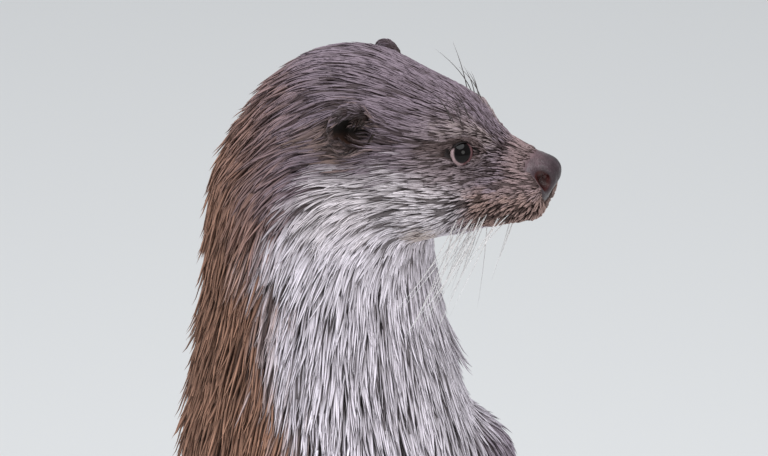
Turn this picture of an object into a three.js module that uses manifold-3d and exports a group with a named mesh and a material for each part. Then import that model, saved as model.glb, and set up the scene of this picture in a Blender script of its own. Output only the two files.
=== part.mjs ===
// A life-size Eurasian otter, an adult male, standing upright on its hind feet with its tail laid out behind
// as a prop and its head turned to the left. Millimetres, +Z up, +X the way the chest faces, +Y the animal's
// left. The origin is on the floor, under the middle of the model's bounding box.
//
// Each sub-part is a closed body of its own, out to the tips of the coat. A limb is cut back by the trunk it
// grows from, and the trunk and tail are parted by thin flat cuts.
import * as THREE from "three";
import { mergeVertices } from "three/addons/utils/BufferGeometryUtils.js";
import Module from "manifold-3d";

const wasm = await Module();
wasm.setup();

// ---------------------------------------------------------------- driving dimensions
const GAP = 0.3; // between neighbouring sub-parts
const FLOOR_SINK = 1.5; // how far soles and tail would reach below the floor before they are cut flat

const EAR_HEIGHT = 612; // of the midpoint between the ears
const HEAD_TURN = THREE.MathUtils.degToRad(22); // to the left
const HEAD_TILT = THREE.MathUtils.degToRad(3); // the right ear lower than the left
const HEAD_AT = { x: 11.5, y: 7.5 }; // the midpoint between the ears
const NOSE_TIP_X = 85; // ahead of the ears
const HEAD_BACK_X = -61;

const RUMP_HEIGHT = 88;
const WAIST_HEIGHT = 275; // cut between abdomen and chest
const COLLAR_HEIGHT = 484; // cut between chest and neck
const NECK_TOP_HEIGHT = 622;
const NAPE_HEIGHT = 564; // cut between neck and head, at the origin's side
const NAPE_SLOPE = THREE.MathUtils.degToRad(20);

const EYE_RADIUS = 6;
const EYE = { x: 42.4, y: 17.8, z: -10 };
const EAR = { x: -3.2, y: 38.5, z: 5.4 };

const HEEL = { x: -30, y: 58 }; // where the shank meets the hind foot
const WRIST = { x: 70, y: 50, z: 318 };

const vec = (x, y, z) => new THREE.Vector3(x, y, z);
const degrees = THREE.MathUtils.degToRad;

// ---------------------------------------------------------------- materials
const fur = (name, colour) =>
  new THREE.MeshStandardMaterial({ name, color: colour, roughness: 0.6, metalness: 0 });
const materials = {
  brown: fur("brown_fur", 0x5a463c),
  pale: fur("pale_fur", 0x9c918b),
  mixed: fur("grey_brown_fur", 0x746459),
  nose: fur("nose_skin", 0x4a3a3c),
  eye: new THREE.MeshStandardMaterial({ name: "eye", color: 0x120c0a, roughness: 0.08, metalness: 0 }),
  claw: new THREE.MeshStandardMaterial({ name: "claw", color: 0x6b5a4c, roughness: 0.4, metalness: 0 }),
};

// ---------------------------------------------------------------- soft volumes
// A volume gives about how far a point is from its surface, less than zero inside.

// An ellipsoid, its front tipped up by pitch.
function egg(centre, radii, pitch = 0) {
  const turn = new THREE.Quaternion().setFromAxisAngle(vec(0, 1, 0), pitch);
  const local = vec();
  const scaled = vec();
  return (point) => {
    local.copy(point).sub(centre).applyQuaternion(turn);
    const near = scaled.copy(local).divide(radii).length();
    const slope = scaled.divide(radii).length();
    return slope < 1e-9 ? -Math.min(radii.x, radii.y, radii.z) : (near * (near - 1)) / slope;
  };
}

function softMin(a, b, softness) {
  const h = Math.max(softness - Math.abs(a - b), 0) / softness;
  return Math.min(a, b) - (h * h * softness) / 4;
}

const blended = (volumes, softness) => (point) =>
  volumes.map((volume) => volume(point)).reduce((a, b) => softMin(a, b, softness));

// The same volume on the left and on the right of the middle plane.
const bothSides = (centre, radii, pitch) => [
  egg(centre, radii, pitch),
  egg(vec(centre.x, -centre.y, centre.z), radii, pitch),
];

// How far out along a ray a function of distance turns positive.
function reach(outside, furthest) {
  let low = 0;
  let high = furthest;
  for (let i = 0; i < 26; i++) {
    const middle = (low + high) / 2;
    if (outside(middle) > 0) high = middle;
    else low = middle;
  }
  return (low + high) / 2;
}

// A smooth curve through [place, value] stops.
function along(stops) {
  const places = stops.map((stop) => stop[0]);
  const curve = new THREE.CubicInterpolant(places, stops.map((stop) => stop[1]), 1);
  const [first, last] = [places[0], places[places.length - 1]];
  return (place) => curve.evaluate(THREE.MathUtils.clamp(place, first, last))[0];
}

// ---------------------------------------------------------------- lofts
const ellipse = (angle, a, b) => 1 / Math.hypot(Math.cos(angle) / a, Math.sin(angle) / b);

// Share of the full radius at a distance from the tip of an end rounded over depth.
const dome = (distance, depth) =>
  distance >= depth ? 1 : Math.sqrt(Math.max(0, 1 - (1 - distance / depth) ** 2));

// Draws in the ends of a volume that would not quite close at its poles.
const closing = (place, length, startDepth, endDepth) =>
  (dome(place, startDepth) * dome(length - place, endDepth)) ** 0.2;

// Distances for the rings of a loft, closer together over a rounded end. A dome of 0 is a flat end.
function ringPlaces(from, to, rings, startDome, endDome) {
  const rounding = [1, 2].map((i) => 1 - Math.cos((i * Math.PI) / 6));
  const between = Array.from({ length: rings }, (_, i) =>
    THREE.MathUtils.lerp(from + startDome, to - endDome, i / (rings - 1)),
  );
  return [
    ...(startDome ? rounding.map((share) => from + startDome * share) : []),
    ...between,
    ...(endDome ? rounding.map((share) => to - endDome * share).reverse() : []),
  ];
}

// A closed body round an axis: the rings of a ball's grid are moved into planes square to the axis, and each
// point of a ring out to the radius that outline() gives. Distances run in millimetres along the axis. Flat
// ends stand back from their plane by half a gap, or reach past it in a body that is grown to cut others.
function loft({ axis, from = 0, to, rings, sides, startDome = 0, endDome = 0, outline, grow = 0 }) {
  const length = axis.getLength();
  to ??= length;
  const setBack = grow ? -GAP : GAP / 2;
  const places = ringPlaces(from, to, rings, startDome, endDome);
  const lastRing = places.length - 1;
  const ball = new THREE.SphereGeometry(1, sides, lastRing + 2);
  const position = ball.getAttribute("position");
  for (let row = 0; row <= lastRing + 2; row++) {
    const ring = THREE.MathUtils.clamp(row - 1, 0, lastRing);
    const pole = row !== ring + 1;
    const atStart = ring === 0 && (pole || !startDome);
    const atEnd = ring === lastRing && (pole || !endDome);
    const share = THREE.MathUtils.clamp((atStart ? from : atEnd ? to : places[ring]) / length, 0, 1);
    const centre = axis.getPointAt(share);
    const tangent = axis.getTangentAt(share);
    if (atStart) centre.addScaledVector(tangent, startDome ? -grow : setBack);
    if (atEnd) centre.addScaledVector(tangent, endDome ? grow : -setBack);
    const across = vec(0, 1, 0).addScaledVector(tangent, -tangent.y).normalize();
    const over = across.clone().cross(tangent);
    for (let column = 0; column <= sides; column++) {
      const angle = (column / sides) * 2 * Math.PI;
      const ray = across.clone().multiplyScalar(Math.cos(angle)).addScaledVector(over, Math.sin(angle));
      const at = (r) => centre.clone().addScaledVector(ray, r);
      const point = pole ? centre : at(outline(places[ring], angle, at) + grow);
      position.setXYZ(row * (sides + 1) + column, point.x, point.y, point.z);
    }
  }
  return solid(ball);
}

// ---------------------------------------------------------------- solids
function solid(geometry) {
  geometry.deleteAttribute("normal");
  geometry.deleteAttribute("uv");
  const merged = mergeVertices(geometry, 1e-4);
  return new wasm.Manifold(
    new wasm.Mesh({
      numProp: 3,
      vertProperties: new Float32Array(merged.getAttribute("position").array),
      triVerts: new Uint32Array(merged.index.array),
    }),
  );
}

const placed = (made, matrix) => made.transform(matrix.toArray());

function geometryOf(made) {
  const mesh = made.getMesh();
  const geometry = new THREE.BufferGeometry();
  geometry.setAttribute("position", new THREE.BufferAttribute(mesh.vertProperties, 3));
  geometry.setIndex(new THREE.BufferAttribute(mesh.triVerts, 1));
  geometry.computeVertexNormals();
  return geometry;
}

const otter = new THREE.Group();
otter.name = "otter";

function add(name, made, material) {
  const mesh = new THREE.Mesh(geometryOf(made), material);
  mesh.name = name;
  otter.add(mesh);
}

const underFloor = solid(new THREE.BoxGeometry(1600, 800, 200).translate(0, 0, -100));

// ---------------------------------------------------------------- trunk and neck
const spine = new THREE.CatmullRomCurve3([
  vec(-42, 0, RUMP_HEIGHT),
  vec(-34, 0, 140),
  vec(-18, 0, 225),
  vec(-13, 0, 325),
  vec(-12, 0, 420),
  vec(-13, 0, 500),
  vec(-14, 0, 570),
  vec(-12, 0, NECK_TOP_HEIGHT),
]);
const spineLength = spine.getLength();

// How far along the spine a height is.
const spineAt = (height) =>
  reach((distance) => spine.getPointAt(distance / spineLength).z - height, spineLength);

// [height, half width, half depth] of the tube of trunk and neck.
const SECTIONS = [
  [88, 56, 50],
  [150, 64, 61],
  [225, 65, 64],
  [325, 62, 62],
  [400, 60, 64],
  [447, 60, 66],
  [468, 57.5, 64],
  [492, 54.5, 60],
  [525, 50.5, 54.5],
  [548, 48.5, 53],
  [579, 45.5, 49.5],
  [622, 40, 40],
];
const halfWidth = along(SECTIONS.map(([height, width]) => [height, width]));
const halfDepth = along(SECTIONS.map(([height, , depth]) => [height, depth]));

// Shoulder blades, the points of the shoulders, the breast and the haunches swell out of the tube.
const muscles = blended(
  [
    ...bothSides(vec(6, 30, 446), vec(32, 28, 48), degrees(-8)),
    ...bothSides(vec(18, 34, 422), vec(28, 28, 44)),
    egg(vec(26, 0, 400), vec(30, 36, 62)),
    ...bothSides(vec(-22, 36, 165), vec(46, 36, 58)),
  ],
  14,
);

function torsoOutline(place, angle, at) {
  const height = spine.getPointAt(THREE.MathUtils.clamp(place / spineLength, 0, 1)).z;
  const ends = dome(place, 62) * dome(spineLength - place, 44);
  const tube = ellipse(angle, halfWidth(height), halfDepth(height)) * ends;
  return reach((r) => softMin(r - tube, muscles(at(r)), 16), 110);
}

// The trunk and neck, parted by level cuts. Grown parts reach past the cuts, so that they close up.
const TORSO = {
  abdomen: { to: spineAt(WAIST_HEIGHT), rings: 7, startDome: 62 },
  chest: { from: spineAt(WAIST_HEIGHT), to: spineAt(COLLAR_HEIGHT), rings: 9 },
  neck: { from: spineAt(COLLAR_HEIGHT), rings: 8, endDome: 44 },
};
const torso = (name, grow = 0) =>
  loft({ ...TORSO[name], axis: spine, sides: 22, outline: torsoOutline, grow });

const trunkAndGap = Object.keys(TORSO)
  .map((name) => torso(name, GAP))
  .reduce((a, b) => a.add(b));

// ---------------------------------------------------------------- head
// In the head's own frame: +X to the nose, +Y left, origin midway between the ears.
const headPlace = new THREE.Matrix4()
  .makeRotationFromEuler(new THREE.Euler(HEAD_TILT, 0, HEAD_TURN, "ZYX"))
  .setPosition(HEAD_AT.x, HEAD_AT.y, EAR_HEIGHT);

const skull = blended(
  [
    egg(vec(-12, 0, -10), vec(44, 40, 39)), // braincase
    egg(vec(17, 0, -12), vec(37, 27.5, 30)), // forehead
    ...bothSides(vec(38, 15, -6), vec(13, 8.5, 8.5)), // brows
    egg(vec(56, 0, -22), vec(28, 13.5, 14), degrees(-12)), // bridge of the muzzle
    ...bothSides(vec(62, 11.5, -32), vec(20.5, 13, 13)), // whisker pads
    ...bothSides(vec(12, 20, -33), vec(34, 18, 21)), // cheeks
    egg(vec(34, 0, -42), vec(42, 18, 14), degrees(7)), // lower jaw
    egg(vec(-33, 0, -24), vec(31, 37, 34)), // nape
  ],
  9,
);

const headAxis = new THREE.CatmullRomCurve3([
  vec(HEAD_BACK_X, 0, -10),
  vec(0, 0, -13),
  vec(42, 0, -22),
  vec(66, 0, -28),
  vec(80.5, 0, -30),
]);
const headLength = headAxis.getLength();

const headBody = (grow) =>
  loft({
    axis: headAxis,
    rings: 14,
    sides: 24,
    startDome: 22,
    endDome: 7,
    outline: (place, angle, at) => reach((r) => skull(at(r)), 70) * closing(place, headLength, 22, 7),
    grow,
  });

// The nose pad, with its two nostrils.
function nosePad(grow) {
  const pad = new THREE.SphereGeometry(1, 10, 7).scale(9 + grow, 10.5 + grow, 11 + grow);
  return solid(pad.rotateY(degrees(14)).translate(NOSE_TIP_X - 9.5, 0, -24));
}

function nostril(hand) {
  const pit = new THREE.SphereGeometry(1, 8, 5).scale(6, 2.6, 2.6);
  return solid(pit.rotateZ(hand * degrees(50)).translate(NOSE_TIP_X - 4, hand * 7.5, -23));
}

const eyeball = (hand, grow) =>
  solid(new THREE.SphereGeometry(EYE_RADIUS + grow, 12, 8).translate(EYE.x, hand * EYE.y, EYE.z));

// A rounded flap, hollowed on the side that faces forwards and out, its top leaning out.
function earFlap(hand) {
  const turn = (made) => made.rotateX(hand * degrees(-8)).rotateZ(hand * degrees(52));
  const flap = turn(new THREE.SphereGeometry(1, 10, 7).scale(3.6, 11, 14));
  const hollow = turn(new THREE.SphereGeometry(1, 8, 5).scale(4, 8, 10).translate(3.8, 0, 1));
  const at = [EAR.x, hand * EAR.y, EAR.z];
  return solid(flap.translate(...at)).subtract(solid(hollow.translate(...at)));
}

// Everything ahead of the corners of the mouth and below the line of the lips.
function jawRegion(grow) {
  const block = new THREE.BoxGeometry(80 + 2 * grow, 80, 40 + 2 * grow).translate(40, 0, -20);
  return solid(block.rotateY(degrees(-6)).translate(33, 0, -44.5));
}

// All above a slope from the nape down to the throat, which parts the head from the neck.
function aboveNape(grow) {
  const block = new THREE.BoxGeometry(400, 300, 200).translate(0, 0, 100 - grow);
  return solid(block.rotateY(NAPE_SLOPE).translate(0, 0, NAPE_HEIGHT));
}

const wholeHead = placed(headBody(0), headPlace).add(torso("neck"));
const inHead = (made) => placed(made, headPlace);
const head = wholeHead
  .intersect(aboveNape(-GAP))
  .subtract(inHead(nosePad(GAP)))
  .subtract(inHead(jawRegion(GAP)))
  .subtract(inHead(eyeball(1, GAP)))
  .subtract(inHead(eyeball(-1, GAP)));
add("head", head, materials.brown);
add("jaw", placed(headBody(0).intersect(jawRegion(0)), headPlace), materials.pale);
add("nose", placed(nosePad(0).subtract(nostril(1)).subtract(nostril(-1)), headPlace), materials.nose);
for (const [name, hand] of [["left", 1], ["right", -1]]) {
  add(`eye_${name}`, placed(eyeball(hand, 0), headPlace), materials.eye);
  add(`ear_${name}`, placed(earFlap(hand).subtract(headBody(GAP)), headPlace), materials.brown);
}

add("neck", torso("neck").subtract(aboveNape(0)), materials.pale);
add("chest", torso("chest"), materials.mixed);

// ---------------------------------------------------------------- tail
const tailAxis = new THREE.CatmullRomCurve3([
  vec(-46, 0, 122),
  vec(-92, 0, 78),
  vec(-145, 2, 32),
  vec(-205, 8, 18),
  vec(-290, 26, 13.5),
  vec(-370, 54, 9),
  vec(-435, 92, 4.6),
]);
const tailLength = tailAxis.getLength();
const tailRadius = along([
  [0, 46],
  [40, 39],
  [80, 31],
  [130, 25],
  [200, 20],
  [290, 15.5],
  [370, 11],
  [tailLength, 6],
]);
const TAIL_CUTS = [46, 180, 315];

function tail(from, to) {
  return loft({
    axis: tailAxis,
    sides: 12,
    rings: 6,
    from,
    to,
    endDome: to ? 0 : 14,
    outline: (place, angle) => ellipse(angle, 1.08, 0.94) * tailRadius(place) * dome(tailLength - place, 14),
  }).subtract(underFloor);
}

// The root of the tail goes with the rump.
add("abdomen", torso("abdomen").add(tail(0, TAIL_CUTS[0])), materials.brown);
add("tail_base", tail(TAIL_CUTS[0], TAIL_CUTS[1]), materials.brown);
add("tail_middle", tail(TAIL_CUTS[1], TAIL_CUTS[2]), materials.brown);
add("tail_tip", tail(TAIL_CUTS[2]), materials.brown);

// ---------------------------------------------------------------- feet
// In a foot's own frame: +X to the toes, +Z over its back.
// A toe is [where it starts, its length, its spread].
const HIND_TOES = [[44, 27, 24], [49, 34, 11], [51, 38, 0], [49, 37, -11], [44, 33, -23]];
const FORE_TOES = [[24, 20, 30], [28, 25, 13], [29, 27, 0], [28, 25, -13], [24, 20, -30]];

const HIND_FOOT = {
  toes: HIND_TOES,
  toeRadius: 6,
  knuckle: 17,
  droop: 0,
  sole: [
    egg(vec(-2, 0, 13), vec(19, 14, 15)),
    egg(vec(24, 0, 10), vec(34, 17, 12)),
    egg(vec(46, 0, 8), vec(19, 22, 10)),
  ],
  soleEnds: [-20.5, 64.5],
};
const FORE_FOOT = {
  toes: FORE_TOES,
  toeRadius: 5.2,
  knuckle: 13,
  droop: degrees(16),
  sole: [egg(vec(2, 0, 8), vec(15, 13, 11)), egg(vec(20, 0, 7), vec(17, 18, 9))],
  soleEnds: [-12.5, 36.5],
};

function toeAxis(foot, index, hand) {
  const [start, length, spread] = foot.toes[index];
  const turn = hand * degrees(spread);
  const root = vec(start, hand * (2 - index) * foot.knuckle * 0.52, 7.5);
  const reachOut = (share, height) =>
    root.clone().add(vec(Math.cos(turn) * length * share, Math.sin(turn) * length * share, height - 7.5));
  const drop = Math.tan(foot.droop) * length;
  return new THREE.CatmullRomCurve3([root, reachOut(0.5, 7.6 - drop * 0.35), reachOut(1, 4.6 - drop)]);
}

function toe(foot, index, hand, grow) {
  const axis = toeAxis(foot, index, hand);
  return loft({
    axis,
    sides: 5,
    rings: 3,
    outline: (place) => foot.toeRadius * (1 - 0.5 * (place / axis.getLength()) ** 4),
    grow,
  });
}

// The skin between the toes: a flat fan with a hollow edge between each two tips.
function web(foot, hand) {
  const tips = foot.toes.map((_, i) => toeAxis(foot, i, hand));
  const at = (i, share) => tips[i].getPointAt(share);
  const fan = new THREE.Shape();
  fan.moveTo(at(0, 0).x - 6, at(0, 0).y);
  tips.forEach((_, i) => {
    const tip = at(i, 0.86);
    if (!i) return fan.lineTo(tip.x, tip.y);
    const bay = at(i, 0.66).add(at(i - 1, 0.66)).multiplyScalar(0.5);
    return fan.lineTo(bay.x, bay.y).lineTo(tip.x, tip.y);
  });
  fan.lineTo(at(4, 0).x - 6, at(4, 0).y);
  const sheet = new THREE.ExtrudeGeometry(fan, { depth: 2.4, bevelEnabled: false });
  // It sinks with the toes towards their tips.
  const position = sheet.getAttribute("position");
  const start = at(2, 0).x;
  const slope = Math.tan(foot.droop) * 0.9;
  for (let i = 0; i < position.count; i++) {
    position.setZ(i, position.getZ(i) + 3.4 - Math.max(0, position.getX(i) - start) * slope);
  }
  return solid(sheet);
}

function footBody(foot, hand) {
  const field = blended(foot.sole, 8);
  const [heel, ball] = foot.soleEnds;
  const axis = new THREE.LineCurve3(vec(heel, 0, 10), vec(ball, 0, 7));
  const length = axis.getLength();
  let made = loft({
    axis,
    sides: 8,
    rings: 4,
    startDome: 9,
    endDome: 9,
    outline: (place, angle, at) => reach((r) => field(at(r)), 40) * closing(place, length, 9, 9),
  });
  foot.toes.forEach((_, i) => {
    made = made.add(toe(foot, i, hand, 0));
  });
  return made.add(web(foot, hand));
}

// A short curved cone out of the end of a toe, with its root cut back by the toe.
function claw(foot, index, hand) {
  const axis = toeAxis(foot, index, hand);
  const tip = axis.getPointAt(1);
  const ahead = axis.getTangentAt(1);
  const LENGTH = 7;
  const line = new THREE.CatmullRomCurve3([
    tip.clone().addScaledVector(ahead, -3).add(vec(0, 0, 1.6)),
    tip.clone().addScaledVector(ahead, LENGTH * 0.4).add(vec(0, 0, 1.5)),
    tip.clone().addScaledVector(ahead, LENGTH).add(vec(0, 0, -0.6)),
  ]);
  const cone = loft({
    axis: line,
    sides: 4,
    rings: 3,
    outline: (place, angle) => ellipse(angle, 1.3, 1.7) * (1 - 0.72 * (place / line.getLength())),
  });
  return cone.subtract(toe(foot, index, hand, GAP));
}

// ---------------------------------------------------------------- legs
// A leg is one tube, parted at its joints. Its last length goes with the foot.
function leg({ axis, radius, startDome, cuts, names, foot, style, hand, floor }) {
  const length = axis.getLength();
  const part = (from, to, rings) =>
    loft({
      axis,
      from,
      to,
      rings,
      sides: 10,
      startDome: from ? 0 : startDome,
      endDome: to ? 0 : 8,
      outline: (place, angle) =>
        ellipse(angle, 1, 1.06) * radius(place) * dome(place, startDome) ** 0.8 * dome(length - place, 8),
    });
  const [joint, ankle] = cuts;
  const cut = (made) => (floor ? made.subtract(underFloor) : made);
  add(names[0], part(0, joint, 4).subtract(trunkAndGap), materials.brown);
  add(names[1], part(joint, ankle, 4).subtract(trunkAndGap), materials.brown);
  add(names[2], cut(placed(footBody(style, hand), foot).add(part(ankle, undefined, 2))), materials.brown);
  style.toes.forEach((_, i) => {
    add(`claw_${names[2]}_${i + 1}`, cut(placed(claw(style, i, hand), foot)), materials.claw);
  });
}

function foreLeg(name, hand) {
  const axis = new THREE.CatmullRomCurve3([
    vec(12, hand * 38, 456),
    vec(26, hand * 50, 422),
    vec(22, hand * 58, 372),
    vec(40, hand * 57, 342),
    vec(WRIST.x, hand * WRIST.y, WRIST.z),
    vec(WRIST.x + 10, hand * (WRIST.y - 2), WRIST.z - 12),
  ]);
  leg({
    axis,
    hand,
    radius: along([[0, 31], [38, 32.5], [70, 26], [100, 20.5], [140, 15.5], [axis.getLength(), 11]]),
    startDome: 36,
    cuts: [98, 140],
    names: [`upper_arm_${name}`, `forearm_${name}`, `forepaw_${name}`],
    style: FORE_FOOT,
    foot: new THREE.Matrix4()
      .makeRotationFromEuler(new THREE.Euler(0, degrees(62), -hand * degrees(8), "ZYX"))
      .setPosition(WRIST.x + 6, hand * (WRIST.y - 2), WRIST.z - 6),
    floor: false,
  });
}

function hindLeg(name, hand) {
  const axis = new THREE.CatmullRomCurve3([
    vec(-24, hand * 34, 190),
    vec(10, hand * 50, 158),
    vec(42, hand * 61, 116),
    vec(22, hand * 61, 74),
    vec(-12, hand * 59, 46),
    vec(HEEL.x, hand * HEEL.y, 18),
  ]);
  leg({
    axis,
    hand,
    radius: along([[0, 44], [50, 42], [92, 29], [130, 22], [168, 17.5], [axis.getLength(), 15]]),
    startDome: 30,
    cuts: [104, 176],
    names: [`thigh_${name}`, `shank_${name}`, `hind_foot_${name}`],
    style: HIND_FOOT,
    foot: new THREE.Matrix4()
      .makeRotationZ(hand * degrees(7))
      .setPosition(HEEL.x, hand * HEEL.y, -FLOOR_SINK),
    floor: true,
  });
}

for (const [name, hand] of [["left", 1], ["right", -1]]) {
  foreLeg(name, hand);
  hindLeg(name, hand);
}

// ---------------------------------------------------------------- set the origin
const box = new THREE.Box3().setFromObject(otter);
const middle = box.getCenter(vec());
otter.position.set(-middle.x, -middle.y, -box.min.z);

export default otter;
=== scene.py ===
"""A life-size Eurasian otter, standing, its head turned to its left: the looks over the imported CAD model.

One skin stands for the nodes of flesh. The coat over it is mesh locks that follow the lie of the hair.
The bare pad of the nose, the eyes and the claws are pieces of their own. Meshes are in metres, +Z up,
and places in the head's own frame are in millimetres.
"""
import math

import bmesh
import bpy
import numpy as np
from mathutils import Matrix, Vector
from mathutils.bvhtree import BVHTree


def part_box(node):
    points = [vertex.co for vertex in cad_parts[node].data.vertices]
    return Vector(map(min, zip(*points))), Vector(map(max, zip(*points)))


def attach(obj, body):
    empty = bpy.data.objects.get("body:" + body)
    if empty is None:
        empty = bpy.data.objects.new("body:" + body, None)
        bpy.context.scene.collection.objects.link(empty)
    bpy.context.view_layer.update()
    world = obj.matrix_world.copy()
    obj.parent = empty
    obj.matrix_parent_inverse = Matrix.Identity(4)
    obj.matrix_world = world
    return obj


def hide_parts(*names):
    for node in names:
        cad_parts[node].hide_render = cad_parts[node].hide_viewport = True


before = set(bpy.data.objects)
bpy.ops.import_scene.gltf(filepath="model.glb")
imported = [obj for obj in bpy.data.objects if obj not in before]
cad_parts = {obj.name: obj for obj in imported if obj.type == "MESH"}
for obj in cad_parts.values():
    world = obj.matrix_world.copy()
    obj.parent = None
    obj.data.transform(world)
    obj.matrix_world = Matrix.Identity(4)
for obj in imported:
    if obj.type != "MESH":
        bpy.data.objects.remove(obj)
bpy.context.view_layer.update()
MM = 0.001
SIDES = ("left", "right")
SIGN = {"left": 1, "right": -1}

# ---- the frame's nodes
CLAWS = [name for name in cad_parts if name.startswith("claw_")]
EYES = [f"eye_{side}" for side in SIDES]
FLESH = [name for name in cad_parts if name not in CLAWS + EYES]


def middle(name):
    """The centre of a node's box."""
    low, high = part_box(name)
    return np.array((low + high) / 2)


# The head's own frame: ahead to the nose, across to its left, above out of the crown. Its origin is midway
# between the ears, where the CAD model has it, and places in it are in millimetres.
EYE_PLACE = np.array([42.4, 17.8, -10])
across = middle("eye_left") - middle("eye_right")
across /= np.linalg.norm(across)
ahead = np.cross(across, (0, 0, 1))
ahead /= np.linalg.norm(ahead)
HEAD_AXES = np.stack([ahead, across, np.cross(ahead, across)])
between_eyes = (middle("eye_left") + middle("eye_right")) / 2
HEAD_ORIGIN = between_eyes - (EYE_PLACE * (1, 0, 1) * MM) @ HEAD_AXES


def to_head(points):
    return (points - HEAD_ORIGIN) @ HEAD_AXES.T / MM


def from_head(points):
    return np.asarray(points) * MM @ HEAD_AXES + HEAD_ORIGIN


def on_side(vector, side):
    """A place or way given for the left side, on that side."""
    return vector * (1, SIGN[side], 1)


def brought_left(at):
    """Places in the head's frame, those of its right side mirrored over to the left."""
    return np.stack([at[:, 0], np.abs(at[:, 1]), at[:, 2]], -1)


def from_eye(at):
    """How far places are from the eye, seen from the side."""
    return np.linalg.norm((at - EYE_PLACE) * (1, 0, 1), axis=1)


# ---- numbers over meshes
def unit(vectors):
    return vectors / np.maximum(np.linalg.norm(vectors, axis=-1, keepdims=True), 1e-12)


def ramp(value, low, high):
    """0 below low, 1 above high, smooth between them; low may be the larger."""
    t = np.clip((value - low) / (high - low), 0, 1)
    return t * t * (3 - 2 * t)


def bump(value, middle_at, half):
    """1 at the middle, falling smoothly to 0 half away from it."""
    return np.clip(1 - ((value - middle_at) / half) ** 2, 0, 1) ** 2


def arrays(mesh):
    points = np.empty(len(mesh.vertices) * 3)
    mesh.vertices.foreach_get("co", points)
    return points.reshape(-1, 3)


def put_points(mesh, points):
    mesh.vertices.foreach_set("co", np.ascontiguousarray(points, np.float32).ravel())


def triangles(mesh):
    corners = np.empty(len(mesh.loop_triangles) * 3, np.int32)
    mesh.loop_triangles.foreach_get("vertices", corners)
    return corners.reshape(-1, 3)


def new_mesh(name, points, faces):
    """A mesh of faces that all have the same number of corners."""
    mesh = bpy.data.meshes.new(name)
    mesh.vertices.add(len(points))
    put_points(mesh, points)
    mesh.loops.add(faces.size)
    mesh.loops.foreach_set("vertex_index", np.ascontiguousarray(faces, np.int32).ravel())
    mesh.polygons.add(len(faces))
    mesh.polygons.foreach_set("loop_start", np.arange(0, faces.size, faces.shape[1], dtype=np.int32))
    mesh.update(calc_edges=True)
    mesh.shade_smooth()
    return mesh


def new_object(name, data):
    made = bpy.data.objects.new(name, data)
    bpy.context.scene.collection.objects.link(made)
    return made


def dressed(name, mesh, material):
    """A piece of the looks. The part has one body, the root, and every piece rides on it."""
    piece = new_object(name, mesh)
    piece.data.materials.append(material)
    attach(piece, "root")
    return piece


def put_values(mesh, name, kind, values):
    """A layer of numbers or colours on the mesh's points."""
    layer = mesh.attributes.new(name, kind, "POINT")
    layer.data.foreach_set("value" if kind == "FLOAT" else "color", values.astype(np.float32).ravel())


def point_normals(points, tris):
    a, b, c = (points[tris[:, i]] for i in range(3))
    faces = np.cross(b - a, c - a)
    total = [sum(np.bincount(tris[:, i], faces[:, k], len(points)) for i in range(3)) for k in range(3)]
    return unit(np.stack(total, -1))


class Edges:
    """The edges of a mesh, for averages over each point's neighbours."""

    def __init__(self, mesh):
        ends = np.empty(len(mesh.edges) * 2, np.int32)
        mesh.edges.foreach_get("vertices", ends)
        ends = ends.reshape(-1, 2)
        self.here = np.concatenate([ends[:, 0], ends[:, 1]])
        self.there = np.concatenate([ends[:, 1], ends[:, 0]])
        self.count = len(mesh.vertices)
        self.share = 1 / np.maximum(np.bincount(self.here, minlength=self.count), 1)

    def average(self, values):
        if values.ndim == 1:
            return np.bincount(self.here, values[self.there], self.count) * self.share
        return np.stack([self.average(column) for column in values.T], -1)

    def smooth(self, values, rounds):
        """Rounds may be a number for each point."""
        most = int(np.max(rounds))
        for i in range(most):
            part = np.clip(rounds - i, 0, 1)
            part = part[:, None] if values.ndim == 2 and np.ndim(part) else part
            values = values + (self.average(values) - values) * part
        return values


# ---- skin: one surface out of the nodes of flesh
VOXEL = 1.65 * MM
OVERLAP = 0.25 * MM  # closes the thin gaps between nodes
THINNED = 0.82  # share of the trunk's and limbs' triangles that is taken out again
NAPE_DEPTH = 2.8  # of the coat at the back of the head, in millimetres

# The rounds of smoothing of each kind of node, then the depth of its coat and the length and width of its
# locks, in millimetres.
REGIONS = {
    "head": (9, 1.1, 17, 1.3),
    "jaw": (8, 0.9, 12, 1.3),
    "nose": (6, 0.0, 2, 0.8),
    "ear": (2, 0.3, 4.5, 0.9),
    "neck": (60, 2.8, 26, 1.85),
    "chest": (70, 3.2, 25, 2.2),
    "abdomen": (70, 3.2, 25, 2.5),
    "tail": (30, 2.4, 19, 2.3),
    "upper_arm": (130, 1.6, 20, 2.2),
    "forearm": (24, 1.6, 11, 1.8),
    "forepaw": (3, 0.5, 6, 1.15),
    "thigh": (40, 2.6, 22, 2.4),
    "shank": (24, 1.6, 13, 1.9),
    "hind_foot": (3, 0.5, 6.5, 1.3),
}
HEAD_NODES = ("head", "jaw", "nose", "ear")
OF_NODE = np.array([next(REGIONS[key] for key in REGIONS if name.startswith(key)) for name in FLESH], float)
ROUNDS, DEPTH, LENGTH, WIDTH = OF_NODE.T


def is_on(owner, starts):
    """Which of the owners, numbers of nodes of flesh, have names that start so."""
    return np.array([name.startswith(starts) for name in FLESH])[owner]


def merged_node(name):
    """A node's points without the copies at its sharp edges, and its triangles."""
    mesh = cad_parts[name].data
    keys, index = np.unique(np.round(arrays(mesh) / (MM * 0.001)), axis=0, return_inverse=True)
    tris = index.reshape(-1)[triangles(mesh)]
    whole = (tris[:, 0] != tris[:, 1]) & (tris[:, 1] != tris[:, 2]) & (tris[:, 2] != tris[:, 0])
    return keys * (MM * 0.001), tris[whole]


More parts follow.
